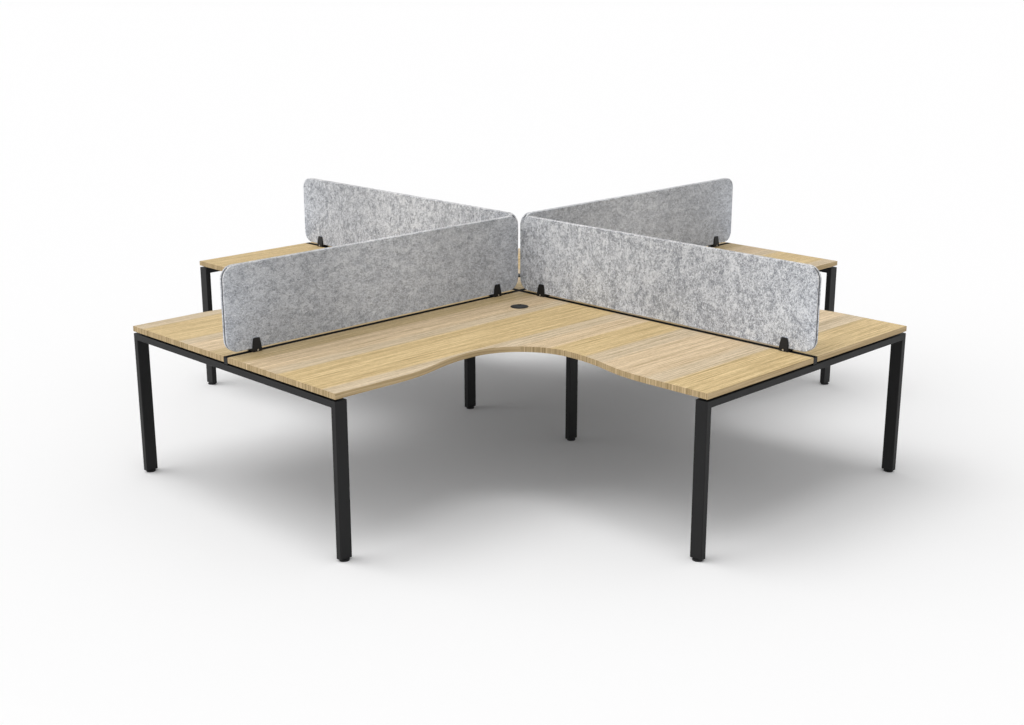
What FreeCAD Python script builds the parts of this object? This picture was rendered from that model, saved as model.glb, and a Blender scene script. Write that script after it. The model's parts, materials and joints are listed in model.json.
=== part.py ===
import FreeCAD, Part
import os
from math import asin, cos, radians, sin

# A cluster of four corner desks round a cross of felt screens, on black tube frames.
# Millimetres, +Z up. The origin is on the floor under the middle of the cross.
# The arms of the cross run along X and Y. The arm along -Y and the desk between the -Y and +X arms
# are drawn, and turned about Z for the others.

# Desktops
desk_height = 730.0
top_thickness = 25.0
desk_length = 1800.0
wing_depth = 750.0
waist_depth = 680.0
wave_length = 480.0
corner_setback = 987.0
gap_between_desks = 30.0
edging_thickness = 2.0
edging_round = 0.8
turn_angle = 90.0

# Frames and rails of rectangular tube
tube_wide = 60.0
tube_narrow = 30.0
tube_wall = 2.0
tube_corner = 3.0
spacer_height = 10.0
centre_frame_width = 790.0
rail_inset = 50.0
leg_plug_thickness = 12.0

# Levelling feet
foot_height = 10.0
foot_radius = 22.0
foot_pad_height = 6.0
foot_collar_radius = 9.0
stem_radius = 5.0
stem_length = 50.0
stem_clearance = 0.05

# Gap strip between neighbouring tops
strip_clearance = 0.3
strip_wall = 2.0
strip_cap_thickness = 3.0

# Screens
screen_height = 385.0
screen_thickness = 28.0
screen_corner = 60.0
screen_lift = 15.0
screen_inner_end = 20.0
screen_end_setback = 2.0
felt_thickness = 9.0
felt_fold = 3.0
core_inset = 2.0

# Screen clamps
clamp_inner_place = 175.0
clamp_outer_setback = 152.0
clamp_length = 46.0
clamp_block_length = 38.0
clamp_tab_rise = 62.0
clamp_foot_rise = 13.0
clamp_tab_top = 32.0
clamp_tab_corner = 5.0
clamp_tab_thick = 10.0
clamp_tab_thin = 4.0
clamp_screw_rise = 7.5
clamp_screw_radius = 2.0
clamp_screw_head_radius = 4.2
clamp_screw_head_height = 2.0
clamp_screw_bite = 7.0
clamp_bolt_radius = 2.5
clamp_bolt_head_radius = 4.5
clamp_bolt_head_height = 4.0
clamp_bolt_reach = 8.0

# Cable grommets
grommet_setback = 238.0
grommet_flange_radius = 45.0
grommet_flange_height = 2.0
grommet_sleeve_radius = 40.0
grommet_fit = 0.3
grommet_sleeve_wall = 3.0
grommet_ledge = 3.0
grommet_ledge_thickness = 2.5
grommet_cap_recess = 5.0
grommet_cap_rise = 1.6
grommet_cap_clearance = 0.4
grommet_notch_width = 26.0
grommet_notch_depth = 20.0
grommet_chamfer = 0.8

# Spacers, joining plates and their screws
spacer_width = 30.0
rail_fixing_shares = (0.33, 0.69)
beam_fixing_shares = (0.25, 0.81)
fixing_radius = 3.0
fixing_bite = 15.0
fixing_head_radius = 6.0
fixing_head_height = 3.5
plate_length = 56.0
plate_width = 40.0
plate_thickness = 3.0
plate_screw_offset = 15.0
plate_screw_reach = 12.0
screw_clearance = 0.2

# How far a cutting body passes the face it cuts
overrun = 10.0

# Places that follow from the sizes above
half_gap = gap_between_desks / 2
reach = half_gap + desk_length
outer_edge = half_gap + wing_depth
top_underside = desk_height - top_thickness
frame_top = top_underside - spacer_height
beam_underside = frame_top - tube_narrow
beam_inner_face = reach - tube_wide
beam_centre = reach - tube_wide / 2
tube_half = tube_wide / 2
centre_half_width = centre_frame_width / 2
rail_offset = centre_half_width - rail_inset
rail_outer_side = rail_offset + tube_half
rail_fixing_places = [share * reach for share in rail_fixing_shares]
beam_fixing_places = [share * outer_edge for share in beam_fixing_shares]
grommet_place = half_gap + grommet_setback
strip_half = half_gap - strip_clearance
screen_half = screen_thickness / 2
screen_bottom = desk_height + screen_lift
screen_top = screen_bottom + screen_height
screen_outer_end = reach - screen_end_setback
clamp_places = (clamp_inner_place, screen_outer_end - clamp_outer_setback)
hole_radius = fixing_radius + screw_clearance
diagonal = radians(turn_angle / 2)

arm_names = ("front_left", "front_right", "back_right", "back_left")
desk_names = ("front", "right", "back", "left")
side_signs = {"left": -1, "right": 1}

vec = FreeCAD.Vector
axis_x = vec(1, 0, 0)
axis_y = vec(0, 1, 0)
axis_z = vec(0, 0, 1)
origin = vec(0, 0, 0)


def turned(shape, turns):
    copy = shape.copy()
    copy.rotate(origin, axis_z, turns * turn_angle)
    return copy


def moved(shape, x, y, z):
    copy = shape.copy()
    copy.translate(vec(x, y, z))
    return copy


def box(low, high):
    return Part.makeBox(high[0] - low[0], high[1] - low[1], high[2] - low[2], vec(*low))


def prism(points, path):
    # a polygon pushed along path
    wire = Part.makePolygon([vec(*point) for point in points] + [vec(*points[0])])
    return Part.Face(wire).extrude(vec(*path))


def post(radius, x, y, low, high):
    # an upright cylinder between two heights
    return Part.makeCylinder(radius, high - low, vec(x, y, low), axis_z)


def hexagon(radius, low, high):
    # an upright six-sided post, radius out to its corners
    sixth = radians(2 * turn_angle / 3)
    corners = [(radius * cos(n * sixth), radius * sin(n * sixth), low) for n in range(6)]
    return prism(corners, (0, 0, high - low))


def line(start, end):
    return Part.LineSegment(start, end).toShape()


def bend(start, middle, end):
    return Part.Arc(start, middle, end).toShape()


def outline_of(corners):
    # straight edges from corner to corner, left open at the end
    return [line(a, b) for a, b in zip(corners, corners[1:])]


def cut_all(shape, tools):
    return shape.cut(Part.makeCompound(tools))


def save(name, shape):
    shape.exportStep(f"parts/{name}.step")


def save_group(name, solids):
    save(name, Part.makeCompound(solids))


# Desktops: two wings that meet in a round inner corner. Along each wing the front edge swells
# from the waist to the full depth in two equal arcs, tangent to each other and to the straight edges.
def desk_outline():
    waist = half_gap + waist_depth
    corner = half_gap + corner_setback
    wave_end = corner + wave_length
    half_wave = wave_length / 2
    half_swell = (outer_edge - waist) / 2
    wave_radius = (half_wave ** 2 + half_swell ** 2) / (2 * half_swell)
    half_turn = asin(half_wave / wave_radius) / 2
    bow = wave_radius * (1 - cos(half_turn))
    run = wave_radius * sin(half_turn)
    corner_radius = corner - waist
    corner_mid = corner - corner_radius * cos(diagonal)

    # places are written as (depth from the arm's axis, distance along the arm)
    ends = [(outer_edge, wave_end), (outer_edge - half_swell, wave_end - half_wave), (waist, corner)]
    mids = [(outer_edge - bow, wave_end - run), (waist + bow, corner + run)]

    def on_near_wing(place):
        return vec(place[0], -place[1], 0)

    def on_far_wing(place):
        return vec(place[1], -place[0], 0)

    edges = []
    for wing in (on_near_wing, on_far_wing):
        edges += outline_of([wing((half_gap, half_gap)), wing((half_gap, reach)),
                             wing((outer_edge, reach)), wing(ends[0])])
        edges += [bend(wing(start), wing(mid), wing(end)) for start, mid, end in zip(ends, mids, ends[1:])]
    edges.append(bend(on_near_wing(ends[2]), vec(corner_mid, -corner_mid, 0), on_far_wing(ends[2])))
    return Part.Wire(Part.__sortEdges__(edges))


def top_fixing_points():
    # where one desktop is screwed to its two rails and two end beams
    near_rail = [(rail_offset, -along) for along in rail_fixing_places]
    far_rail = [(along, -rail_offset) for along in rail_fixing_places]
    near_beam = [(side, -beam_centre) for side in beam_fixing_places]
    far_beam = [(beam_centre, -side) for side in beam_fixing_places]
    return near_rail + far_rail + near_beam + far_beam


def make_desktop_and_edging():
    outline = desk_outline()
    core_outline = outline.makeOffset2D(-edging_thickness)
    rise = vec(0, 0, top_thickness)
    core = moved(Part.Face(core_outline), 0, 0, top_underside).extrude(rise)
    slab = moved(Part.Face(outline), 0, 0, top_underside).extrude(rise)
    outer_rim = [edge for edge in slab.Edges if edge.BoundBox.ZMin > desk_height - edging_round]
    rounded = slab.makeFillet(edging_round, outer_rim)
    edging = rounded.cut(core)

    bore = post(grommet_sleeve_radius + grommet_fit, grommet_place, -grommet_place,
                top_underside - overrun, desk_height + overrun)
    pilots = [post(hole_radius, x, y, top_underside - overrun, top_underside + fixing_bite)
              for x, y in top_fixing_points()]
    return cut_all(core, [bore] + pilots), edging


# Rectangular tube: drawn upright from z = 0, wide across Y and narrow across X
def tube(length):
    def bar(wide, narrow, corner):
        half_wide = wide / 2 - corner
        half_narrow = narrow / 2 - corner
        section = Part.makePlane(2 * half_narrow, 2 * half_wide, vec(-half_narrow, -half_wide, 0))
        return Part.Face(section.OuterWire.makeOffset2D(corner)).extrude(vec(0, 0, length))

    outer = bar(tube_wide, tube_narrow, tube_corner)
    inner = bar(tube_wide - 2 * tube_wall, tube_narrow - 2 * tube_wall, tube_corner - tube_wall)
    return outer, inner


# Frames: each is an upside-down U, mitred at its two top corners, with a plug in the foot of each leg
def mitre_wedge(half_width, side, above):
    # what lies above, or below, the slanting plane through one top corner
    inside = side * (half_width - tube_narrow - overrun)
    outside = side * (half_width + overrun)
    low = beam_underside - overrun
    high = frame_top + overrun
    third = (inside, -tube_wide, high) if above else (outside, -tube_wide, low)
    return prism([(inside, -tube_wide, low), (outside, -tube_wide, high), third], (0, 2 * tube_wide, 0))


def make_leg(half_width):
    length = frame_top - foot_height
    outer, inner = tube(length)
    x = half_width - tube_narrow / 2
    outer = moved(outer, x, 0, foot_height)
    inner = moved(inner, x, 0, foot_height + leg_plug_thickness)
    bore = post(stem_radius + stem_clearance, x, 0, 0, foot_height + leg_plug_thickness + overrun)
    return cut_all(outer, [inner, bore, mitre_wedge(half_width, 1, True)])


def make_beam(half_width):
    outer, inner = tube(2 * half_width)
    beam = outer.cut(inner)
    beam.rotate(origin, axis_y, turn_angle)
    beam = moved(beam, -half_width, 0, frame_top - tube_narrow / 2)
    return cut_all(beam, [mitre_wedge(half_width, side, False) for side in side_signs.values()])


def through_hole(x, y):
    return post(hole_radius, x, y, beam_underside - overrun, frame_top + overrun)


def lower_wall_hole(x, y):
    return post(hole_radius, x, y, beam_underside - overrun, frame_top - tube_narrow / 2)


def make_end_frame(turns, name):
    beam = moved(make_beam(outer_edge), 0, -beam_centre, 0)
    holes = []
    for side in side_signs.values():
        holes += [through_hole(side * place, -beam_centre) for place in beam_fixing_places]
        holes.append(lower_wall_hole(side * rail_offset, -beam_inner_face - plate_screw_offset))
    save(f"{name}_frame_beam", turned(cut_all(beam, holes), turns))
    right_leg = make_leg(outer_edge)
    left_leg = turned(right_leg, 2)
    for side, leg in (("right", right_leg), ("left", left_leg)):
        save(f"{name}_frame_{side}_leg", turned(moved(leg, 0, -beam_centre, 0), turns))
        foot = make_foot(side_signs[side] * (outer_edge - tube_narrow / 2), -beam_centre)
        save(f"{name}_frame_{side}_foot", turned(foot, turns))


def make_centre_frame():
    beam = make_beam(centre_half_width)
    holes = [lower_wall_hole(side * rail_offset, end * (tube_half - plate_screw_offset))
             for side in side_signs.values() for end in side_signs.values()]
    save("centre_frame_beam", cut_all(beam, holes))
    right_leg = make_leg(centre_half_width)
    for side, leg in (("right", right_leg), ("left", turned(right_leg, 2))):
        save(f"centre_frame_{side}_leg", leg)
        foot = make_foot(side_signs[side] * (centre_half_width - tube_narrow / 2), 0)
        save(f"centre_frame_{side}_foot", foot)


# Levelling feet: a low round pad, a six-sided collar that meets the leg, and a plain stem
def make_foot(x, y):
    pad = post(foot_radius, 0, 0, 0, foot_pad_height)
    collar = hexagon(foot_collar_radius, foot_pad_height, foot_height)
    stem = post(stem_radius, 0, 0, foot_height, foot_height + stem_length)
    return moved(pad.fuse([collar, stem]), x, y, 0)


# Rails: the pair under the arms along Y run from end beam to centre beam,
# and the pair under the arms along X butt against those
def rail_start(turns):
    return rail_outer_side if turns % 2 else tube_half


def make_rail(turns, side):
    start = rail_start(turns)
    outer, inner = tube(beam_inner_face - start)
    rail = outer.cut(inner)
    rail.rotate(origin, axis_y, turn_angle)
    rail.rotate(origin, axis_z, -turn_angle)
    rail = moved(rail, side * rail_offset, -start, frame_top - tube_narrow / 2)
    holes = [through_hole(side * rail_offset, -place) for place in rail_fixing_places]
    for joint in (start + plate_screw_offset, beam_inner_face - plate_screw_offset):
        holes.append(lower_wall_hole(side * rail_offset, -joint))
    if not turns % 2:
        holes.append(lower_wall_hole(side * (rail_outer_side - plate_screw_offset), -rail_offset))
    return turned(cut_all(rail, holes), turns)


def screw_of(radius, reach_down, head_radius, head_height):
    # flat round head up from z = 0, shank down
    return post(head_radius, 0, 0, 0, head_height).fuse(post(radius, 0, 0, -reach_down, 0))


def hex_screw(reach_down):
    # six-sided head up from z = 0, shank down
    return hexagon(fixing_head_radius, 0, fixing_head_height).fuse(post(fixing_radius, 0, 0, -reach_down, 0))


# Joining plates lie under each joint of a rail
def make_joining_plates():
    plates = []
    screws = []
    half = plate_length / 2
    low = beam_underside - plate_thickness
    screw = hex_screw(plate_screw_reach)
    screw.rotate(origin, axis_x, 2 * turn_angle)
    for turns in range(len(arm_names)):
        for side in side_signs.values():
            x = side * rail_offset
            for joint in (rail_start(turns), beam_inner_face):
                ends = (-joint - plate_screw_offset, -joint + plate_screw_offset)
                plate = box((x - plate_width / 2, -joint - half, low),
                            (x + plate_width / 2, -joint + half, beam_underside))
                plate = cut_all(plate, [post(hole_radius, x, y, low - overrun, frame_top) for y in ends])
                plates.append(turned(plate, turns))
                screws += [turned(moved(screw, x, y, low), turns) for y in ends]
    return plates, screws


# Spacers hold the tops clear of the frames, and a long screw passes up through each
def make_spacers():
    hole = post(hole_radius, 0, 0, frame_top - overrun, top_underside + overrun)
    half = spacer_width / 2
    spacer = box((-half, -half, frame_top), (half, half, top_underside)).cut(hole)
    screw = hex_screw(top_underside + fixing_bite - beam_underside - screw_clearance)
    screw.rotate(origin, axis_x, 2 * turn_angle)
    spacers = []
    screws = []
    for turns in range(len(desk_names)):
        for x, y in top_fixing_points():
            spacers.append(turned(moved(spacer, x, y, 0), turns))
            screws.append(turned(moved(screw, x, y, beam_underside), turns))
    return spacers, screws


# Gap strip: a hollow profile, mitred where the four meet, with a flush cap in its outer end
def make_gap_strip():
    outer = box((-strip_half, -reach, frame_top), (strip_half, 0, desk_height))
    inner = box((-strip_half + strip_wall, -reach - overrun, frame_top + strip_wall),
                (strip_half - strip_wall, overrun, desk_height - strip_wall))
    mitres = [prism([(0, 0, frame_top - overrun), (side * reach, 0, frame_top - overrun),
                     (side * reach, -reach, frame_top - overrun)], (0, 0, desk_height))
              for side in side_signs.values()]
    bolts = [post(clamp_bolt_radius + screw_clearance, 0, -place, desk_height - strip_wall - overrun,
                  desk_height + overrun) for place in clamp_places]
    strip = cut_all(outer, [inner] + mitres + bolts)
    cap = box((-strip_half + strip_wall, -reach, frame_top + strip_wall),
              (strip_half - strip_wall, -reach + strip_cap_thickness, desk_height - strip_wall))
    return strip, cap


# Screens: a folded felt skin, closed along the top, round a thin board that is set back from its edges
def screen_slab(inset, half_thickness):
    radius = screen_corner - inset
    low = screen_bottom + screen_corner
    high = screen_top - screen_corner
    near = -screen_inner_end - screen_corner
    far = -screen_outer_end + screen_corner
    core = Part.makePolygon([vec(-half_thickness, near, low), vec(-half_thickness, far, low),
                             vec(-half_thickness, far, high), vec(-half_thickness, near, high),
                             vec(-half_thickness, near, low)])
    return Part.Face(core.makeOffset2D(radius)).extrude(vec(2 * half_thickness, 0, 0))


def make_screen():
    half_core = screen_half - felt_thickness
    slot = box((-half_core, -screen_outer_end - overrun, screen_bottom - overrun),
               (half_core, -screen_inner_end + overrun, screen_top - felt_fold))
    felt = screen_slab(0, screen_half).cut(slot)
    board = screen_slab(core_inset, half_core).common(slot)
    return felt, board


# Clamps: a block under the screen and two tabs beside it. The tabs' sides rise square from the foot
# and curve in to a narrower top with round corners, and above the foot their outer face slopes in.
def tab_outline(inner, low):
    half = clamp_length / 2
    top = low + clamp_tab_rise
    narrowing = (clamp_length - clamp_tab_top) / 2
    side_radius = (clamp_tab_rise ** 2 + narrowing ** 2) / (2 * narrowing)
    half_sweep = asin(clamp_tab_rise / side_radius) / 2
    middle_y = half - side_radius * (1 - cos(half_sweep))
    middle_z = low + side_radius * sin(half_sweep)
    right = bend(vec(inner, half, low), vec(inner, middle_y, middle_z), vec(inner, half - narrowing, top))
    left = bend(vec(inner, narrowing - half, top), vec(inner, -middle_y, middle_z), vec(inner, -half, low))
    return Part.Wire([right, line(vec(inner, half - narrowing, top), vec(inner, narrowing - half, top)),
                      left, line(vec(inner, -half, low), vec(inner, half, low))])


def make_clamp():
    low = desk_height
    top = low + clamp_tab_rise
    shoulder = low + clamp_foot_rise
    inner = screen_half
    tab = Part.Face(tab_outline(inner, low)).extrude(vec(clamp_tab_thick, 0, 0))
    top_corners = [edge for edge in tab.Edges
                   if edge.BoundBox.XLength > clamp_tab_thin and edge.BoundBox.ZMin > shoulder]
    tab = tab.makeFillet(clamp_tab_corner, top_corners)
    slope = prism([(inner, -clamp_length, low), (inner + clamp_tab_thick, -clamp_length, low),
                   (inner + clamp_tab_thick, -clamp_length, shoulder),
                   (inner + clamp_tab_thin, -clamp_length, top), (inner, -clamp_length, top)],
                  (0, 2 * clamp_length, 0))
    tab = tab.common(slope)
    screw_height = low + clamp_screw_rise
    bite = inner - clamp_screw_bite
    drill = Part.makeCylinder(clamp_screw_radius + screw_clearance, 2 * clamp_length,
                              vec(-clamp_length, 0, screw_height), axis_x)
    tab = tab.cut(drill)
    screw = screw_of(clamp_screw_radius, clamp_tab_thick + clamp_screw_bite, clamp_screw_head_radius,
                     clamp_screw_head_height)
    screw.rotate(origin, axis_y, turn_angle)
    screw = moved(screw, inner + clamp_tab_thick, 0, screw_height)

    half = clamp_block_length / 2
    block = box((-inner, -half, low), (inner, half, screen_bottom))
    taps = [Part.makeCylinder(clamp_screw_radius + screw_clearance, clamp_screw_bite + overrun,
                              vec(side * (bite - screw_clearance), 0, screw_height), axis_x * side)
            for side in side_signs.values()]
    sink = post(clamp_bolt_head_radius + screw_clearance, 0, 0, screen_bottom - clamp_bolt_head_height,
                screen_bottom + overrun)
    hole = post(clamp_bolt_radius + screw_clearance, 0, 0, low - overrun, screen_bottom + overrun)
    block = cut_all(block, taps + [sink, hole])
    bolt = screw_of(clamp_bolt_radius, screen_bottom - clamp_bolt_head_height - low + clamp_bolt_reach,
                    clamp_bolt_head_radius, clamp_bolt_head_height - screw_clearance)
    bolt = moved(bolt, 0, 0, screen_bottom - clamp_bolt_head_height)
    return block, [tab, turned(tab, 2)], [screw, turned(screw, 2), bolt]


# Cable grommets: a flanged sleeve with an inner ledge, and a cap with a cable notch that turns on it
def make_grommet():
    bore = grommet_sleeve_radius - grommet_sleeve_wall
    seat = desk_height - grommet_cap_recess
    flange_top = desk_height + grommet_flange_height
    sleeve = post(grommet_sleeve_radius, 0, 0, top_underside, desk_height)
    flange = post(grommet_flange_radius, 0, 0, desk_height, flange_top)
    rim = [edge for edge in flange.Edges if edge.BoundBox.ZMin > desk_height]
    flange = flange.makeChamfer(grommet_chamfer, rim)
    well = post(bore, 0, 0, seat, flange_top + overrun)
    below = post(bore, 0, 0, top_underside - overrun, seat - grommet_ledge_thickness)
    throat = post(bore - grommet_ledge, 0, 0, top_underside - overrun, flange_top + overrun)
    sleeve = cut_all(sleeve.fuse(flange), [well, below, throat]).removeSplitter()

    cap_radius = bore - grommet_cap_clearance
    cap = post(cap_radius, 0, 0, seat, flange_top + grommet_cap_rise)
    rim = [edge for edge in cap.Edges if edge.BoundBox.ZMin > flange_top]
    cap = cap.makeChamfer(grommet_chamfer, rim)
    notch_round = grommet_notch_width / 2
    notch_end = cap_radius - grommet_notch_depth + notch_round
    notch = post(notch_round, -notch_end, 0, seat - overrun, flange_top + overrun)
    notch = notch.fuse(box((-cap_radius - overrun, -notch_round, seat - overrun),
                           (-notch_end, notch_round, flange_top + overrun)))
    cap = cap.cut(notch)
    cap.rotate(origin, axis_z, -turn_angle / 2)
    return [moved(piece, grommet_place, -grommet_place, 0) for piece in (sleeve, cap)]


os.makedirs("parts", exist_ok=True)

desktop, edging = make_desktop_and_edging()
sleeve, cap = make_grommet()
for turns, name in enumerate(desk_names):
    save(f"desktop_{name}", turned(desktop, turns))
    save(f"grommet_cap_{name}", turned(cap, turns))
save_group("edge_bands", [turned(edging, turns) for turns in range(len(desk_names))])
save_group("grommet_sleeves", [turned(sleeve, turns) for turns in range(len(desk_names))])

for turns, name in enumerate(arm_names):
    make_end_frame(turns, name)
    for side, sign in side_signs.items():
        save(f"{name}_rail_{side}", make_rail(turns, sign))
make_centre_frame()

plates, plate_screws = make_joining_plates()
save_group("rail_joining_plates", plates)
save_group("joining_plate_screws", plate_screws)
spacers, top_screws = make_spacers()
save_group("top_spacers", spacers)
save_group("top_fixing_screws", top_screws)

strip, strip_cap = make_gap_strip()
screen, board = make_screen()
block, tabs, clamp_fixings = make_clamp()
caps = []
boards = []
blocks = []
tab_plates = []
clamp_screws = []
for turns, name in enumerate(arm_names):
    save(f"gap_strip_{name}", turned(strip, turns))
    save(f"screen_{name}", turned(screen, turns))
    caps.append(turned(strip_cap, turns))
    boards.append(turned(board, turns))
    for place in clamp_places:
        blocks.append(turned(moved(block, 0, -place, 0), turns))
        tab_plates += [turned(moved(tab, 0, -place, 0), turns) for tab in tabs]
        clamp_screws += [turned(moved(fixing, 0, -place, 0), turns) for fixing in clamp_fixings]
save_group("gap_strip_end_caps", caps)
save_group("screen_cores", boards)
save_group("clamp_bases", blocks)
save_group("clamp_plates", tab_plates)
save_group("clamp_screws", clamp_screws)
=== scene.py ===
import json
import math
from functools import reduce

import bpy
import numpy as np
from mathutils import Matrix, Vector


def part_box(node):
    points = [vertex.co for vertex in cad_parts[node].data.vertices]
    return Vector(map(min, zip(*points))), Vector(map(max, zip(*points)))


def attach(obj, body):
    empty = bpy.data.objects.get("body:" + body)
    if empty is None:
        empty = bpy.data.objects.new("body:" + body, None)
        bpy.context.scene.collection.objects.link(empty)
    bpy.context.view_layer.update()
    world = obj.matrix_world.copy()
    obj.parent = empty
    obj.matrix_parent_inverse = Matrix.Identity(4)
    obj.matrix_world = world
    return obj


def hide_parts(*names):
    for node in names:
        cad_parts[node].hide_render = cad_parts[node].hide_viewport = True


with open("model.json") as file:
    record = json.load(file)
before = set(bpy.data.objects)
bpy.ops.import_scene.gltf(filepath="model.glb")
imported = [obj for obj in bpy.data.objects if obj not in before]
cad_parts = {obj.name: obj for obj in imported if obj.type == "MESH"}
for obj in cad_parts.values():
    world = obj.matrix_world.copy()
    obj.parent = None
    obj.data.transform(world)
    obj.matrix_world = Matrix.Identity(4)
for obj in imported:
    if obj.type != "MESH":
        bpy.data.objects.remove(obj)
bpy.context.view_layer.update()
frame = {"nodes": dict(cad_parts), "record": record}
scene = bpy.context.scene
scene.view_settings.view_transform = "Standard"

# Camera, where the photograph was taken from
camera = {
    "place": (5.08773, -5.14033, 2.40661),
    "tiltDown": 15.958,
    "turn": 45.0,
    "lens": 49.96,
    "sensor": 36.0,
    "farthest": 500.0,
}
lens = bpy.data.cameras.new("camera")
lens.lens = camera["lens"]
lens.sensor_width = camera["sensor"]
lens.clip_end = camera["farthest"]
eye = bpy.data.objects.new("camera", lens)
eye.location = camera["place"]
eye.rotation_euler = (math.radians(90.0 - camera["tiltDown"]), 0.0, math.radians(camera["turn"]))
scene.collection.objects.link(eye)
scene.camera = eye
print("camera placed")


# One socket of a shader tree, so that the maths of a pattern reads as plain expressions
class Value:
    def __init__(self, tree, socket):
        self.tree = tree
        self.socket = socket

    def maths(self, operation, first, second):
        return self.tree.add("Math", {"operation": operation}, {0: first, 1: second})

    def __add__(self, other):
        return self.maths("ADD", self, other)

    def __radd__(self, other):
        return self.maths("ADD", other, self)

    def __sub__(self, other):
        return self.maths("SUBTRACT", self, other)

    def __rsub__(self, other):
        return self.maths("SUBTRACT", other, self)

    def __mul__(self, other):
        return self.maths("MULTIPLY", self, other)

    def __rmul__(self, other):
        return self.maths("MULTIPLY", other, self)

    def __pow__(self, other):
        return self.maths("POWER", self, other)

    def __rpow__(self, other):
        return self.maths("POWER", other, self)

    def most(self, other):
        return self.maths("MAXIMUM", self, other)

    def size(self):
        return self.maths("ABSOLUTE", self, 0.0)


# Nearly all of a noise lies in this span, round this middle
noiseSpan = (0.3, 0.7)
noiseMiddle = 0.5


def opaque(shade):
    return tuple(shade) + (1.0,)


# A node tree. add takes a node's type, its settings and the values or links of its sockets
class Tree:
    def __init__(self, owner):
        owner.use_nodes = True
        self.tree = owner.node_tree
        self.tree.nodes.clear()

    def add(self, kind, settings=None, inputs=None, result=0):
        node = self.tree.nodes.new("ShaderNode" + kind)
        for name, value in (settings or {}).items():
            if name != "stops":
                setattr(node, name, value)
                continue
            ramp = node.color_ramp
            while len(ramp.elements) < len(value):
                ramp.elements.new(1.0)
            for element, (place, shade) in zip(ramp.elements, value):
                element.position = place
                element.color = opaque(shade)
        for name, value in (inputs or {}).items():
            if isinstance(value, Value):
                self.tree.links.new(value.socket, node.inputs[name])
            else:
                node.inputs[name].default_value = value
        return Value(self, node.outputs[result]) if node.outputs else None

    # The place of a point on the object, stretched and turned
    def place(self, scale=(1.0, 1.0, 1.0), turn=(0.0, 0.0, 0.0)):
        at = self.add("TexCoord", {}, {}, "Object")
        return self.add("Mapping", {}, {"Vector": at, "Rotation": turn, "Scale": scale})

    # One axis of a point's place (Object) or of the direction that its face looks in (Normal)
    def axis(self, kind, letter):
        return self.add("SeparateXYZ", {}, {0: self.add("TexCoord", {}, {}, kind)}, letter)

    # The scale is the number of marks in a metre
    def noise(self, at, scale, detail, roughness, distortion=0.0):
        return self.add("TexNoise", {}, {"Vector": at, "Scale": scale, "Detail": detail,
                                         "Roughness": roughness, "Distortion": distortion})

    def spread(self, value, low, high, newLow=0.0, newHigh=1.0):
        return self.add("MapRange", {}, {"Value": value, 1: low, 2: high, 3: newLow, 4: newHigh})

    # A noise's whole span taken to new limits
    def swing(self, noise, newLow, newHigh):
        return self.spread(noise, *noiseSpan, newLow, newHigh)

    def blend(self, factor, first, second, mode="MIX"):
        return self.add("Mix", {"data_type": "RGBA", "blend_type": mode},
                        {0: factor, 6: first, 7: second}, 2)

    # A colour with each of its parts multiplied by a tint's, where the factor lets it
    def tinted(self, factor, colour, tint):
        return self.blend(factor, colour, self.blend(1.0, colour, opaque(tint), "MULTIPLY"))

    # A grey level made a colour, by how much of it goes to red, green and blue
    def shaded(self, level, tint):
        red, green, blue = (level * part for part in tint)
        return self.add("CombineColor", {}, {0: red, 1: green, 2: blue})

    def bump(self, height, distance, strength):
        return self.add("Bump", {}, {"Strength": strength, "Distance": distance, "Height": height})

    def surface(self, inputs):
        shader = self.add("BsdfPrincipled", {}, inputs)
        self.add("OutputMaterial", {}, {"Surface": shader})


def newMaterial(name):
    material = bpy.data.materials.new(name)
    return material, Tree(material)


# Floor, world and lamps: a white studio with soft light from all round, a broad lamp overhead, a narrow one
# above the middle that makes the core of the floor shadow, and a very broad key from the picture's left
studio = {
    "floorHalf": 150.0,
    "floorShade": (0.978, 0.976, 0.978),
    "worldShade": (1.0, 1.0, 1.0),
    "worldLight": 0.537,  # what falls on the object
    "worldSeen": 1.0,  # what the camera and reflections see
    # A spread is in degrees, and a direction points to where the light comes from
    "lamps": {
        "overhead": {"strength": 0.77, "spread": 43.0, "from": (-0.32, -0.25, 1.0)},
        "narrow": {"strength": 0.385, "spread": 22.0, "from": (0.156, -0.014, 1.0)},
        "key": {"strength": 0.83, "spread": 64.0, "from": (-1.20, -1.20, 1.0)},
    },
}


# The floor is clear from below, so that views from there show the object
def makeFloor():
    half = studio["floorHalf"]
    corners = [(-half, -half, 0), (half, -half, 0), (half, half, 0), (-half, half, 0)]
    mesh = bpy.data.meshes.new("floor")
    mesh.from_pydata(corners, [], [(0, 1, 2, 3)])
    material, tree = newMaterial("floor_white")
    paper = tree.add("BsdfDiffuse", {}, {"Color": opaque(studio["floorShade"])})
    fromBelow = tree.add("NewGeometry", {}, {}, "Backfacing")
    clear = tree.add("BsdfTransparent")
    both = tree.add("MixShader", {}, {0: fromBelow, 1: paper, 2: clear})
    tree.add("OutputMaterial", {}, {"Surface": both})
    mesh.materials.append(material)
    floor = bpy.data.objects.new("floor", mesh)
    scene.collection.objects.link(floor)


# The camera, gloss and glass see a plain white world, and everything else gets its softer light
def makeWorld():
    world = bpy.data.worlds.new("studio")
    scene.world = world
    tree = Tree(world)
    rays = ("Is Camera Ray", "Is Glossy Ray", "Is Transmission Ray")
    seen = reduce(Value.most, [tree.add("LightPath", {}, {}, ray) for ray in rays])
    strength = studio["worldLight"] + seen * (studio["worldSeen"] - studio["worldLight"])
    back = tree.add("Background", {}, {"Color": opaque(studio["worldShade"]), "Strength": strength})
    tree.add("OutputWorld", {}, {"Surface": back})


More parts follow.
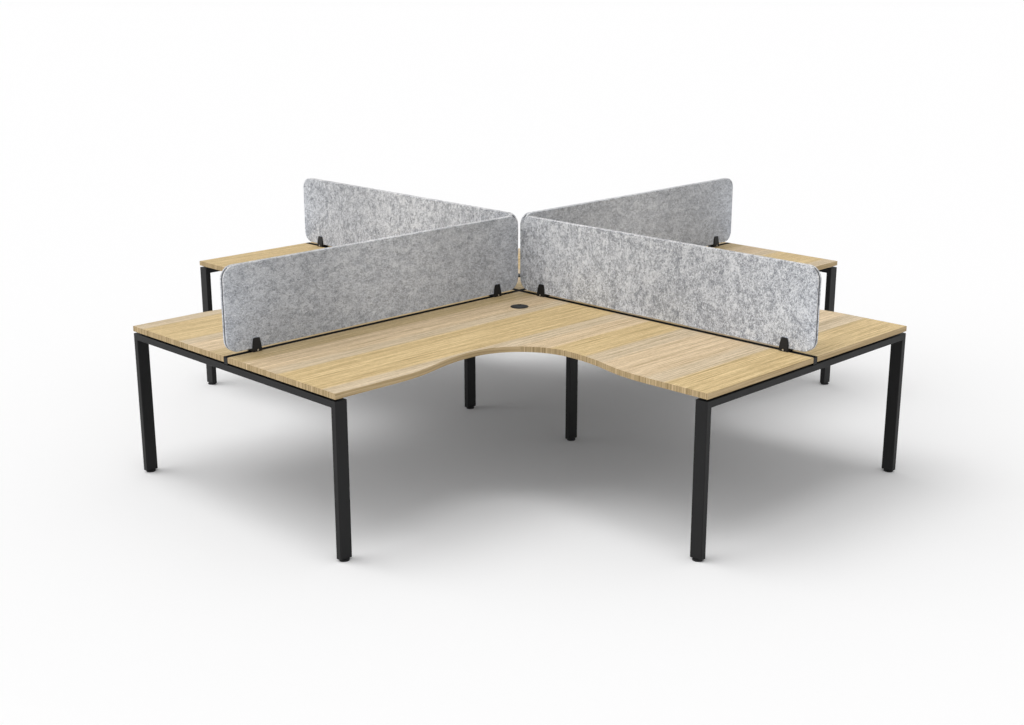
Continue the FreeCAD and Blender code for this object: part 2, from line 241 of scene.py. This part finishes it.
def makeLamp(name, facts):
    lamp = bpy.data.lights.new(name, "SUN")
    lamp.energy = facts["strength"]
    lamp.angle = math.radians(facts["spread"])
    light = bpy.data.objects.new(name, lamp)
    light.rotation_euler = Vector(facts["from"]).to_track_quat("Z", "Y").to_euler()
    scene.collection.objects.link(light)


makeFloor()
makeWorld()
for name, facts in studio["lamps"].items():
    makeLamp(name, facts)
print("floor, world and lamps made")

# Oak melamine: the grain runs along Y, in broad bands across X that mirror at the middle of the cluster
oak = {
    "tones": {
        "yellow": (0.648, 0.484, 0.248),
        "pink": (0.672, 0.518, 0.330),
        "greyish": (0.628, 0.504, 0.340),
        # Painted shade: the darker brown of the tops where the screens shade them
        "brown": (0.560, 0.425, 0.228),
    },
    # Where each band starts and ends, from the middle outwards. Neighbours blend into each other between.
    # The first band, along the screens at the middle of the cluster, is painted shade of the screens in a
    # darker brown.
    "bands": [(0.00, 0.11, "brown"), (0.15, 0.28, "pink"), (0.31, 0.365, "greyish"),
              (0.385, 0.67, "yellow"), (0.69, 0.76, "greyish"), (0.79, 0.89, "pink"),
              (0.91, 1.09, "yellow"), (1.11, 1.20, "greyish"), (1.23, 1.47, "pink"),
              (1.50, 1.58, "greyish"), (1.60, 1.80, "yellow")],
    "reach": 1.84,  # a little past the ends of the wings
    "bandSway": 0.02,
    "edgeTone": (0.606, 0.463, 0.274),
    # Painted shade: a dark grey for the tops' undersides, which keeps the floor shadow beneath them dark
    # and neutral
    "shadeUnderside": (0.250, 0.246, 0.242),
    # Grain layers: marks in a metre across the grain and along it, detail, roughness and bend
    "layers": {
        "wide": (42.0, 0.45, 3.0, 0.55, 0.25),
        "lines": (125.0, 1.2, 3.0, 0.60, 0.0),
        "ticks": (270.0, 2.8, 3.0, 0.62, 0.0),
        "hairs": (420.0, 1.3, 2.0, 0.60, 0.0),
        "pores": (800.0, 16.0, 3.0, 0.60, 0.0),
        "dashes": (150.0, 27.0, 2.0, 0.60, 0.0),
        "sway": (1.5, 0.6, 1.0, 0.50, 0.0),
    },
    # A layer's low and high, and how light the wood is at each
    "top": {
        "wide": (0.34, 0.62, 0.88, 1.06),
        "lines": (0.34, 0.56, 0.82, 1.06),
        "ticks": (0.34, 0.54, 0.58, 1.10),
        "hairs": (0.32, 0.50, 0.80, 1.03),
        "pores": (0.30, 0.46, 0.80, 1.00),
        "dashes": (*noiseSpan, 0.88, 1.12),
    },
    "edge": {
        "wide": (0.34, 0.64, 0.88, 1.05),
        "lines": (0.38, 0.58, 0.64, 1.06),
        "ticks": (0.38, 0.56, 0.60, 1.05),
        "hairs": (0.32, 0.50, 0.80, 1.03),
        "pores": (0.30, 0.46, 0.80, 1.00),
    },
    "topLight": 1.08,
    "paintedFalloff": (0.030, -0.018, 0.985),  # painted light: how much lighter the tops are painted in a metre of X and of Y, and the factor at the middle
    "calmLevel": 0.89,
    "calmShare": 0.35,
    "warmth": (0.9, 1.25),  # powers of the level in red and in blue
    "sideTurn": (0.69, 0.71),
    "belowTurn": (-0.6, -0.4),
    "depthStretch": 0.02,
    "roughness": {"top": 0.48, "edge": 0.50},
    "glossSwing": (0.05, -0.04),
    "poreRoughness": 0.25,
    "shine": 0.08,
    "relief": {"ticks": 0.5, "dark": 0.5, "depth": 0.00012, "strength": 0.6},
}


# The pattern lies on x and y. On edges that face X mostly, z takes the place of x. So the streaks run along
# every edge that follows the grain, and stand upright as ticks on every edge that crosses it.
def makeOak(name, surface):
    material, tree = newMaterial(name)
    x, y, z = (tree.axis("Object", letter) for letter in "XYZ")
    side = tree.spread(tree.axis("Normal", "X").size(), *oak["sideTurn"])
    across = x * (1.0 - side) + z * side
    lie = tree.add("CombineXYZ", {}, {0: across, 1: y, 2: z * oak["depthStretch"]})

    def grain(layer):
        pitchAcross, pitchAlong, detail, rough, bend = oak["layers"][layer]
        scaled = tree.add("Mapping", {}, {"Vector": lie, "Scale": (pitchAcross, pitchAlong, 1.0)})
        return tree.noise(scaled, 1.0, detail, rough, bend)

    marks = {layer: grain(layer) for layer in oak[surface]}
    shades = {layer: tree.spread(marks[layer], *facts) for layer, facts in oak[surface].items()}
    dark = shades["pores"] * shades["hairs"]
    level = shades["wide"] * shades["lines"] * shades["ticks"] * dark
    if surface == "edge":
        # The edges that follow the grain are calmer
        level = level + (oak["calmLevel"] - level) * side * oak["calmShare"]
        tone = opaque(oak["edgeTone"])
    else:
        # Painted light: the tops' colour gets lighter towards +X and darker towards +Y
        slopeX, slopeY, middle = oak["paintedFalloff"]
        level = level * oak["topLight"] * shades["dashes"] * (x * slopeX + y * slopeY + middle)
        band = x.size() + (grain("sway") - noiseMiddle) * oak["bandSway"]
        stops = [(place / oak["reach"], oak["tones"][tone])
                 for start, end, tone in oak["bands"] for place in (start, end)]
        tone = tree.add("ValToRGB", {"stops": stops}, {0: band * (1.0 / oak["reach"])})
    # Dark grain is warmer: its red falls less than its blue
    red, blue = oak["warmth"]
    tint = tree.add("CombineColor", {}, {0: level ** red, 1: level, 2: level ** blue})
    colour = tree.blend(1.0, tone, tint, "MULTIPLY")
    # Painted shade: faces that look down get a dark grey, to keep the floor shadow beneath dark and neutral
    if surface == "top":
        below = tree.spread(tree.axis("Normal", "Z"), *oak["belowTurn"], 1.0, 0.0)
        colour = tree.blend(below, colour, opaque(oak["shadeUnderside"]))
    roughest, smoothest = (oak["roughness"][surface] + change for change in oak["glossSwing"])
    gloss = tree.swing(marks["ticks"], roughest, smoothest) + (1.0 - dark) * oak["poreRoughness"]
    relief = oak["relief"]
    height = marks["ticks"] * relief["ticks"] + dark * relief["dark"]
    tree.surface({"Base Color": colour, "Roughness": gloss, "Specular IOR Level": oak["shine"],
                  "Normal": tree.bump(height, relief["depth"], relief["strength"])})
    return material


# Black coats and plastics: a fine orange peel or moulded grain, with cloudy gloss and a little dust. A peel
# is given in marks in a metre, and its depth in metres.
coat = {
    "kinds": {
        "black_frame": {"name": "black_frame_coat", "shade": 0.008, "roughness": 0.50,
                        "peel": 900.0, "depth": 0.00006, "shine": 0.24},
        # The gap strips are a black part, and their shade is set darker than the other coats as painted
        # shade of the screens just above them
        "black_strip": {"name": "black_strip_matt", "shade": 0.002, "roughness": 0.75,
                        "peel": 1500.0, "depth": 0.00003, "shine": 0.04},
        "black_clamp": {"name": "black_clamp_satin", "shade": 0.012, "roughness": 0.45,
                        "peel": 1300.0, "depth": 0.00004, "shine": 0.24},
        "black_plastic": {"name": "black_plastic_moulded", "shade": 0.018, "roughness": 0.55,
                          "peel": 1900.0, "depth": 0.00004, "shine": 0.28},
        "plate_steel": {"name": "black_plate_coat", "shade": 0.016, "roughness": 0.50,
                        "peel": 1100.0, "depth": 0.00004, "shine": 0.28},
    },
    "peelDetail": (2.0, 0.55),
    "cloud": (9.0, 3.0, 0.6),
    "cloudLight": (0.88, 1.12),
    "cloudGloss": 0.05,
    "dust": (1600.0, 1.0, 0.5),
    "dustLight": (0.35, 0.7, 0.92, 1.12),
    "dustGloss": 0.08,
    "dustRelief": 0.25,
    "blueShare": 1.04,
    "strength": 0.8,
}


def makeCoat(facts):
    material, tree = newMaterial(facts["name"])
    peel = tree.noise(tree.place(), facts["peel"], *coat["peelDetail"])
    cloud = tree.noise(tree.place(), *coat["cloud"])
    dust = tree.noise(tree.place(), *coat["dust"])
    level = tree.swing(cloud, *coat["cloudLight"]) * tree.spread(dust, *coat["dustLight"])
    shade, roughness = facts["shade"], facts["roughness"]
    gloss = tree.swing(cloud, roughness - coat["cloudGloss"], roughness + coat["cloudGloss"])
    gloss = gloss + (dust - noiseMiddle) * coat["dustGloss"]
    height = peel + dust * coat["dustRelief"]
    tree.surface({"Base Color": tree.shaded(level, (shade, shade, shade * coat["blueShare"])),
                  "Roughness": gloss, "Specular IOR Level": facts["shine"],
                  "Normal": tree.bump(height, facts["depth"], coat["strength"])})
    return material


# Zinc-plated steel: fine turned scratches
steel = {
    "scratchStretch": (1.0, 1.0, 8.0),
    "scratch": (900.0, 3.0, 0.6),
    "scratchLight": (0.85, 1.1),
    "cloud": (160.0, 2.0, 0.5),
    "roughness": (0.22, 0.38),
    "shade": (0.62, 0.62, 0.6386),
    "depth": 0.00003,
    "strength": 0.6,
}


def makeSteel():
    material, tree = newMaterial("screw_zinc")
    scratch = tree.noise(tree.place(steel["scratchStretch"]), *steel["scratch"])
    cloud = tree.noise(tree.place(), *steel["cloud"])
    level = tree.swing(scratch, *steel["scratchLight"])
    tree.surface({"Base Color": tree.shaded(level, steel["shade"]), "Metallic": 1.0,
                  "Roughness": tree.swing(cloud, *steel["roughness"]),
                  "Normal": tree.bump(scratch, steel["depth"], steel["strength"])})
    return material


# Pressed felt: light and dark fibres carded together into soft blotches, flecks and curls. The batch on the
# arms along X has the stronger marbling, partly painted light for the relief that the key lamp brings out
# on those screens' faces. Slow cosine waves along each arm make paler and darker stretches, partly painted
# light and shade.
# They mirror at the middle in the other batch. Painted shade darkens the felt a little towards the far
# ends, painted light makes its low part paler and bluer against the warm light that the oak below bounces
# onto it, and painted light makes its rims paler and warmer.
felt = {
    # The level's colours, from the dark fibres to the pale ones
    "stops": [(0.33, (0.270, 0.290, 0.330)), (0.44, (0.440, 0.468, 0.520)),
              (0.52, (0.655, 0.690, 0.745)), (0.64, (0.840, 0.875, 0.925))],
    # A noise has its marks in a metre, detail, roughness and distortion, and a share in the level
    "layers": {
        "blotches": {"noise": (17.0, 3.0, 0.60, 0.8), "share": 0.20},
        "swirl": {"noise": (42.0, 3.0, 0.60, 1.2), "share": 0.24},
        "curls": {"noise": (84.0, 3.0, 0.62, 1.6), "share": 0.30},
        "flecks": {"noise": (200.0, 3.0, 0.60, 0.9), "share": 0.34},
    },
    "threads": {
        "dark": {"noise": (62.0, 2.0, 0.5, 1.5), "width": 0.045, "share": -0.062},
        "pale": {"noise": (74.0, 2.0, 0.5, 1.5), "width": 0.040, "share": 0.055},
    },
    "lift": -0.04,
    # Hairs: marks in a metre along each axis, four turns with how much finer each is, and each axis's share
    # of a turn
    "strandPitch": (260.0, 260.0, 2400.0),
    "strandTurns": ((0.0, 1.0), (0.9, 1.1), (1.9, 0.9), (2.6, 1.05)),
    "strandLean": (1.0, 0.7, 0.4),
    "strandNoise": (1.0, 2.0, 0.6, 0.5),
    "hairLight": (0.55, 0.78, 0.865, 1.135),
    "middlePlace": 0.92,  # the middle of an arm
    # Painted light: the low part of each screen is paler and bluer, against the oak's warm bounce
    "lowPaintedLight": (1.065, 1.090, 1.135),
    "lowReach": (0.75, 1.10),  # heights above the floor
    # Painted light: the rims are paler and warmer than the faces
    "rimPaintedLight": (1.10, 1.05, 0.98),
    "rimTurn": (0.5, 0.8),
    "roughness": (0.5, 0.8, 0.98, 0.86),
    "shine": 0.15,
    "sheen": 0.10,
    "sheenRoughness": 0.5,
    "relief": {"hairs": 0.3, "flecks": 0.3, "curls": 0.8, "depth": 0.0016, "strength": 0.8},
    # Palest is a place where the slow waves are at their palest, and pitch is their length. The waves are
    # partly painted light and shade, the fade towards the far ends is painted shade, and the arms along X
    # get the paler tint and stronger contrast partly as painted light.
    "along X": {"name": "grey_felt_marbled_key_lit", "contrast": 2.15, "stretch": (1.15, 1.0, 0.85),
                "axis": "X", "faces": "Y", "palest": 0.43, "pitch": 1.22, "swing": 0.060,
                "endShade": 0.060, "mirrored": False, "tint": (1.062, 1.055, 1.054)},
    "along Y": {"name": "grey_felt_soft_lit", "contrast": 1.3, "stretch": (1.0, 0.80, 1.30),
                "axis": "Y", "faces": "X", "palest": 0.88, "pitch": 1.10, "swing": 0.078,
                "endShade": 0.045, "mirrored": True, "tint": (1.014, 1.016, 1.026)},
}


def makeFelt(batch):
    material, tree = newMaterial(batch["name"])
    lie = tree.place(batch["stretch"])
    marks = {layer: tree.noise(lie, *facts["noise"]) for layer, facts in felt["layers"].items()}
    level = sum((marks[layer] * facts["share"] for layer, facts in felt["layers"].items()), felt["lift"])
    # A thread lies where its own noise crosses the middle
    for facts in felt["threads"].values():
        offset = (tree.noise(lie, *facts["noise"]) - noiseMiddle).size()
        level = level + tree.spread(offset, 0.0, facts["width"], 1.0, 0.0) * facts["share"]
    level = (level - noiseMiddle) * batch["contrast"] + noiseMiddle
    colour = tree.add("ValToRGB", {"stops": felt["stops"]}, {0: level})

    # Fine hairs that lie in four directions: the strongest of four drawn-out noises
    strands = []
    for turn, finer in felt["strandTurns"]:
        pitchX, pitchY, pitchZ = felt["strandPitch"]
        turned = tuple(turn * lean for lean in felt["strandLean"])
        drawn = tree.place((pitchX * finer, pitchY * finer, pitchZ), turned)
        strands.append(tree.noise(drawn, *felt["strandNoise"]))
    hairs = reduce(Value.most, strands)

    along = tree.axis("Object", batch["axis"])
    if batch["mirrored"]:
        along = along.size()
    # Slow waves along the arm, partly painted light and shade: stretches of paler and darker felt
    turns = (along - batch["palest"]) * (2.0 * math.pi / batch["pitch"])
    wave = tree.add("Math", {"operation": "COSINE"}, {0: turns})
    shade = tree.spread(hairs, *felt["hairLight"]) * (wave * batch["swing"] + 1.0)
    # Painted shade: the felt darkens a little towards the far ends of each arm
    shade = shade * (1.0 - (along.size() - felt["middlePlace"]) * batch["endShade"])
    colour = tree.blend(1.0, colour, tree.shaded(shade, batch["tint"]), "MULTIPLY")
    # Painted light: the felt is paler and bluer low down, where the oak bounces warm light onto it
    low = tree.spread(tree.axis("Object", "Z"), *felt["lowReach"], 1.0, 0.0)
    colour = tree.tinted(low, colour, felt["lowPaintedLight"])
    # Painted light: the rims are made paler and warmer than the faces
    rim = tree.spread(tree.axis("Normal", batch["faces"]).size(), *felt["rimTurn"], 1.0, 0.0)
    colour = tree.tinted(rim, colour, felt["rimPaintedLight"])
    relief = felt["relief"]
    height = hairs * relief["hairs"] + marks["flecks"] * relief["flecks"] + marks["curls"] * relief["curls"]
    tree.surface({"Base Color": colour, "Roughness": tree.spread(hairs, *felt["roughness"]),
                  "Specular IOR Level": felt["shine"], "Sheen Weight": felt["sheen"],
                  "Sheen Roughness": felt["sheenRoughness"],
                  "Normal": tree.bump(height, relief["depth"], relief["strength"])})
    return material


# The board inside a screen, seen in the seam at its ends
board = {
    "chips": (420.0, 4.0, 0.65),
    "light": (0.09, 0.15),
    "tint": (1.0, 1.01, 1.06),
    "roughness": 0.85,
    "shine": 0.2,
    "depth": 0.0003,
    "strength": 0.7,
}


def makeBoard():
    material, tree = newMaterial("dark_board_edge")
    chips = tree.noise(tree.place(), *board["chips"])
    level = tree.swing(chips, *board["light"])
    tree.surface({"Base Color": tree.shaded(level, board["tint"]), "Roughness": board["roughness"],
                  "Specular IOR Level": board["shine"],
                  "Normal": tree.bump(chips, board["depth"], board["strength"])})
    return material


# Every node of the frame gets the finish of its material slot
finishes = {
    "oak_top": makeOak("oak_top_melamine", "top"),
    "oak_edge": makeOak("oak_edge_band", "edge"),
    "grey_felt": makeFelt(felt["along X"]),
    "dark_board": makeBoard(),
    "screw_steel": makeSteel(),
}
for slot, facts in coat["kinds"].items():
    finishes[slot] = makeCoat(facts)
for part in frame["record"]["subparts"]:
    for place in frame["nodes"][part["node"]].material_slots:
        place.material = finishes[part["material_slot"]]
print("%d finishes made and put on the nodes" % len(finishes))

# Felt screens: a slab with round corners and soft edges, and a seam along the ends and the bottom where the
# two layers of felt meet over the board. The felt is slightly uneven and dips under each clamp tab.
screen = {
    "arms": {"front_left": (0, -1), "front_right": (1, 0), "back_right": (0, 1), "back_left": (-1, 0)},
    "corner": 0.060,
    "cornerSteps": 10,
    "step": 0.008,
    "edgeRound": 0.0030,
    "edgeSteps": 5,
    "seamHalf": 0.0050,
    "seamDepth": 0.0060,
    "seamLip": 0.0012,
    "lipShoulder": 0.3,
    "seamEnds": (0.965, 0.992),  # shares of the height, between which the seam closes
    "unevenness": 0.00035,
    "waves": ((2.3, 5.1), (5.7, 3.2), (11.0, 9.0), (23.0, 17.0)),  # half waves in a metre, along and up
    "waveFade": 1.5,
    "waveTurn": (1.7, 2.1),
    "armTurn": 1.3,
    "sideTurn": 2.0,
    "rimWaves": (1.3, 1.9),
    "rimUnevenness": 0.8,
    "calmEdge": 0.020,
    "tabPlaces": (0.175, 1.661),  # from the middle of the cluster
    "tabReach": (0.024, 0.060),
    "tabPower": 4,
    "tabCalm": 0.6,
    "tabDip": 0.0006,
}
feltBatches = [finishes["grey_felt"], makeFelt(felt["along Y"])]  # by the axis of the arm


# Unevenness in metres: a sum of slow waves along the screen and up it, each one weaker than the last
def wander(along, up, phase):
    turnUp, turnEach = screen["waveTurn"]
    waves = np.zeros_like(along)
    for number, (pitchAlong, pitchUp) in enumerate(screen["waves"]):
        waveAlong = np.sin(pitchAlong * along * math.pi + phase + number)
        waveUp = np.cos(pitchUp * up * math.pi + turnUp * phase + number * turnEach)
        waves += waveAlong * waveUp / (number + screen["waveFade"])
    return waves * screen["unevenness"]


# A row of places from low to high: fine and cosine-spaced in the round corners, even between them
def placesAlong(low, high, corner):
    turn = 1.0 - np.cos(np.linspace(0.0, math.pi / 2, screen["cornerSteps"] + 1))
    length = high - low - 2 * corner
    even = np.linspace(low + corner, high - corner, max(2, round(length / screen["step"]) + 1))
    return np.concatenate([low + corner * turn[:-1], even, (high - corner * turn[:-1])[::-1]])


# How far the slab's edge is drawn in at each place along it: a quarter circle at each end, and none between
def drawIn(places, low, high, corner):
    inside = np.clip(np.minimum(places - low, high - places), 0.0, corner)
    return corner - np.sqrt(np.maximum(corner ** 2 - (corner - inside) ** 2, 0.0))


# Rim profile from the front face to the back: a quarter round, a flat, the lip of the seam, and the same
# again from the other side. A row holds the place across the slab, how far out it stands, whether it is on
# the lip, and whether it is on the seam's floor.
def rimProfile(half, inset):
    turn = np.linspace(0.0, math.pi / 2, screen["edgeSteps"] + 1)[1:]
    flat = np.zeros_like(turn)
    rounded = np.stack([-half + inset * (1.0 - np.cos(turn)), inset * np.sin(turn), flat, flat], 1)
    seam, lip = screen["seamHalf"], screen["seamLip"]
    shoulder = lip * screen["lipShoulder"]
    toSeam = np.array([
        [(-half + inset - seam) / 2, inset, 0.0, 0.0],
        [-seam - lip, inset, 0.0, 0.0],
        [-seam - shoulder, inset - shoulder, 1.0, 0.0],
        [-seam, inset - lip, 1.0, 0.0],
        [-seam, inset - lip, 1.0, 1.0]])
    front = np.concatenate([rounded, toSeam])
    return np.concatenate([front, front[::-1] * (-1.0, 1.0, 1.0, 1.0)]).T


def makeScreen(arm, direction, phase):
    lowest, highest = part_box("screen_" + arm)
    axis = 0 if direction[0] else 1
    sign = direction[axis]
    near, far = sorted((abs(lowest[axis]), abs(highest[axis])))
    bottom, top = lowest[2], highest[2]
    half = highest[1 - axis]
    inset = screen["edgeRound"]
    corner = screen["corner"] - inset

    # Face: a grid whose columns shorten in the round corners
    columns = placesAlong(near + inset, far - inset, corner)
    drawn = drawIn(columns, near + inset, far - inset, corner)
    low, high = bottom + inset + drawn, top - inset - drawn
    rows = np.linspace(0.0, 1.0, round((top - bottom) / screen["step"]) + 1)
    along = np.repeat(columns[:, None], len(rows), 1)
    up = low[:, None] + (high - low)[:, None] * rows[None, :]
    count = along.size
    number = np.arange(count).reshape(along.shape)

    # Loop round the face, and the outward direction at each of its points: away from the corner's centre
    loop = np.concatenate([number[:, 0], number[-1, 1:], number[-2::-1, -1], number[0, -2:0:-1]])
    loopAlong, loopUp = along.ravel()[loop], up.ravel()[loop]
    outAlong = loopAlong - np.clip(loopAlong, near + inset + corner, far - inset - corner)
    outUp = loopUp - np.clip(loopUp, bottom + inset + corner, top - inset - corner)
    length = np.hypot(outAlong, outUp)
    outAlong, outUp = outAlong / length, outUp / length

    # Rim: the profile carried round the loop. The seam is open low down, and closes near the top.
    across, out, lipped, deep = (column[:, None] for column in rimProfile(half, inset))
    rise = (loopUp - (bottom + inset)) / (top - bottom - 2 * inset)
    firstEnd, lastEnd = screen["seamEnds"]
    seam = 1.0 - np.clip((rise - firstEnd) / (lastEnd - firstEnd), 0.0, 1.0)
    sunk = deep * seam * (screen["seamDepth"] - screen["seamLip"])
    reach = out + lipped * (1.0 - seam) * (inset - out) - sunk
    rimAlong, rimUp = loopAlong + outAlong * reach, loopUp + outUp * reach
    rimAcross = np.repeat(across, len(loop), 1)
    waveAlong, waveUp = screen["rimWaves"]
    rimOut = wander(rimAlong * waveAlong, rimUp * waveUp, phase) * screen["rimUnevenness"]
    rimOut *= np.clip(reach / inset, 0.0, 1.0)
    rimAlong, rimUp = rimAlong + outAlong * rimOut, rimUp + outUp * rimOut

    # Faces: the felt bulges a little in and out, is calm at its edges and round the tabs, and sinks under
    # them. A tab's reach is a rounded box: a high power of the distance along plus the same of the one up.
    def face(side):
        shift = wander(along, up, phase + screen["sideTurn"] * side)
        edge = np.minimum(np.minimum(along - near, far - along), np.minimum(up - bottom, top - up))
        shift *= np.clip((edge - inset) / screen["calmEdge"], 0.0, 1.0)
        wide, tall = screen["tabReach"]
        for middle in screen["tabPlaces"]:
            away = np.abs((along - middle) / wide) ** screen["tabPower"]
            away = away + np.abs((up - bottom) / tall) ** screen["tabPower"]
            shift = shift * np.clip(away - screen["tabCalm"], 0.0, 1.0) - screen["tabDip"] * np.exp(-away)
        return side * (half - screen["unevenness"] + shift)

    points = np.concatenate([
        np.stack([along.ravel(), face(-1).ravel(), up.ravel()], 1),
        np.stack([rimAlong.ravel(), rimAcross.ravel(), rimUp.ravel()], 1),
        np.stack([along.ravel(), face(1).ravel(), up.ravel()], 1)])

    # Quads: the front grid, the strips between neighbouring rings of the rim, and the back grid turned over
    front = np.stack([number[:-1, :-1], number[1:, :-1], number[1:, 1:], number[:-1, 1:]], -1)
    front = front.reshape(-1, 4)
    backFirst = count + rimAlong.size
    rings = [loop, *(count + np.arange(rimAlong.size).reshape(rimAlong.shape)), backFirst + loop]
    strips = [np.stack([first, second, np.roll(second, -1), np.roll(first, -1)], -1)
              for first, second in zip(rings[:-1], rings[1:])]
    quads = np.concatenate([front, *strips, front[:, ::-1] + backFirst])

    # Place on the arm. The two back arms turn the slab inside out, so their quads are turned round.
    place = np.zeros_like(points)
    place[:, axis] = points[:, 0] * sign
    place[:, 1 - axis] = points[:, 1]
    place[:, 2] = points[:, 2]
    insideOut = (axis == 0) != (sign > 0)
    if insideOut:
        quads = quads[:, ::-1]
    mesh = bpy.data.meshes.new("felt_screen_" + arm)
    mesh.from_pydata(place.tolist(), [], quads.tolist())
    mesh.polygons.foreach_set("use_smooth", [True] * len(mesh.polygons))
    mesh.materials.append(feltBatches[axis])
    mesh.validate()
    piece = bpy.data.objects.new("felt_screen_" + arm, mesh)
    scene.collection.objects.link(piece)
    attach(piece, "workstation")
    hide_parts("screen_" + arm)

    # Its volume is positive where the faces look outwards: a sum over the two triangles of each quad
    first, second, third, fourth = (place[quads[:, corner]] for corner in range(4))
    volume = np.sum(np.cross(first, second) * third + np.cross(first, third) * fourth) / 6.0
    litres = 1000.0 * volume
    print("felt screen %s: %d faces, %.1f litres, outward %s" % (arm, len(quads), litres, litres > 0))


for order, (arm, direction) in enumerate(screen["arms"].items()):
    makeScreen(arm, direction, screen["armTurn"] * order)
